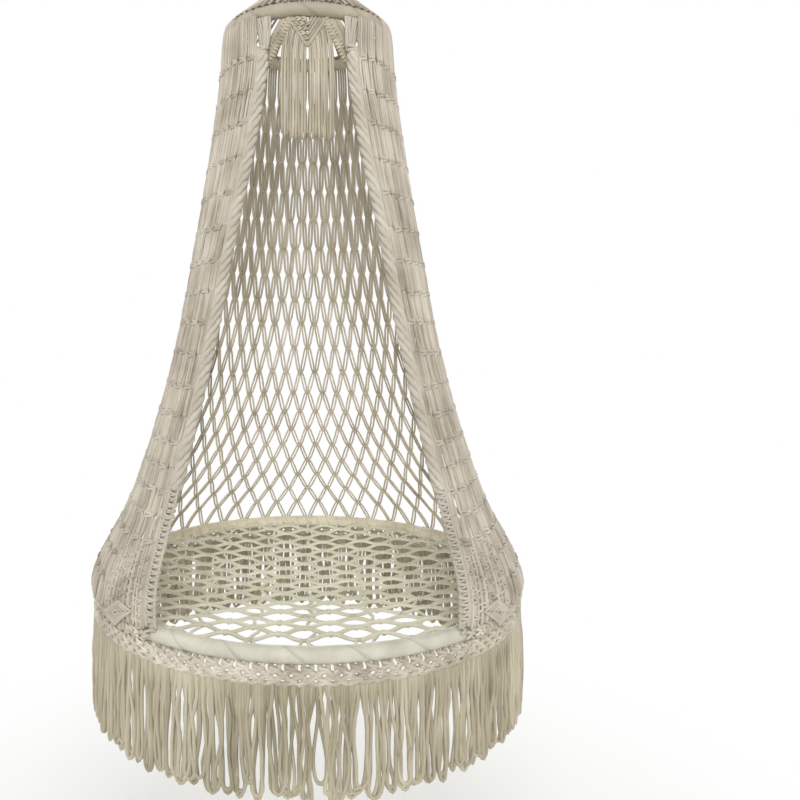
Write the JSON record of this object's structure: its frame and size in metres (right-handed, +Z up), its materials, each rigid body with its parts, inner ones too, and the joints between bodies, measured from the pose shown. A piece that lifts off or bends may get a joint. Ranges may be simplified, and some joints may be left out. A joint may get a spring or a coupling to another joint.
{
  "type": "macrame hammock chair",
  "caption": "Round hanging chair: a knotted cotton net with a front opening, between a small upper hoop and a large fringed seat hoop, on a rope with a steel ring.",
  "frame": {"origin": "the top of the hanging ring's hole, where a ceiling hook carries it", "axes": "+Z up along the rope, -Y to the front where a person gets in, +X to the right as seen from the front"},
  "size_m": [0.803, 0.7996, 1.7996],
  "materials": {
    "ring_steel": "bright zinc-plated steel wire",
    "hoop_steel": "plain steel rod, hidden under the cotton tape",
    "net_cotton": "natural off-white twisted cotton cord",
    "tape_cotton": "smooth white cotton tape wound round the hoops",
    "rope_cotton": "thick off-white cotton rope with cord whippings"
  },
  "bodies": {
    "hanger": {"hanging_ring": "ring_steel"},
    "rope": {"rope_eye": "rope_cotton", "eye_whipping": "rope_cotton", "hanging_rope": "rope_cotton"},
    "canopy": {"gather_wrap": "rope_cotton", "suspension_cords_01": "net_cotton", "suspension_cords_02": "net_cotton", "suspension_cords_03": "net_cotton", "suspension_cords_04": "net_cotton", "suspension_cords_05": "net_cotton", "suspension_cords_06": "net_cotton", "suspension_cords_07": "net_cotton", "suspension_cords_08": "net_cotton", "suspension_cords_09": "net_cotton", "suspension_cords_10": "net_cotton", "top_hoop": "hoop_steel", "top_hoop_front_sleeve": "tape_cotton", "top_hoop_wrap": "tape_cotton", "net_right": "net_cotton", "net_back": "net_cotton", "net_left": "net_cotton", "edge_braid_right": "net_cotton", "edge_braid_left": "net_cotton", "valance_panel": "net_cotton", "valance_cords": "net_cotton"},
    "seat": {"seat_hoop": "hoop_steel", "seat_hoop_front_sleeve": "tape_cotton", "seat_hoop_wrap": "tape_cotton", "seat_net": "net_cotton", "skirt_band": "net_cotton", "fringe_front": "net_cotton", "fringe_right": "net_cotton", "fringe_back_right": "net_cotton", "fringe_back_left": "net_cotton", "fringe_left": "net_cotton"}
  },
  "joints": [
    {"name": "swing", "type": "hinge", "parent": "hanger", "child": "rope", "pos_m": [0, 0, -0.058], "axis": [1, 0, 0], "range_deg": [-25, 25]},
    {"name": "canopy_twist", "type": "hinge", "parent": "rope", "child": "canopy", "pos_m": [0, 0, -0.3816], "axis": [0, 0, 1], "range_deg": [-180, 180]},
    {"name": "seat_lift", "type": "slide", "parent": "canopy", "child": "seat", "axis": [0, 0, 1], "range_m": [0, 0.75], "deforming": ["net_right", "net_back", "net_left", "edge_braid_right", "edge_braid_left"]}
  ]
}
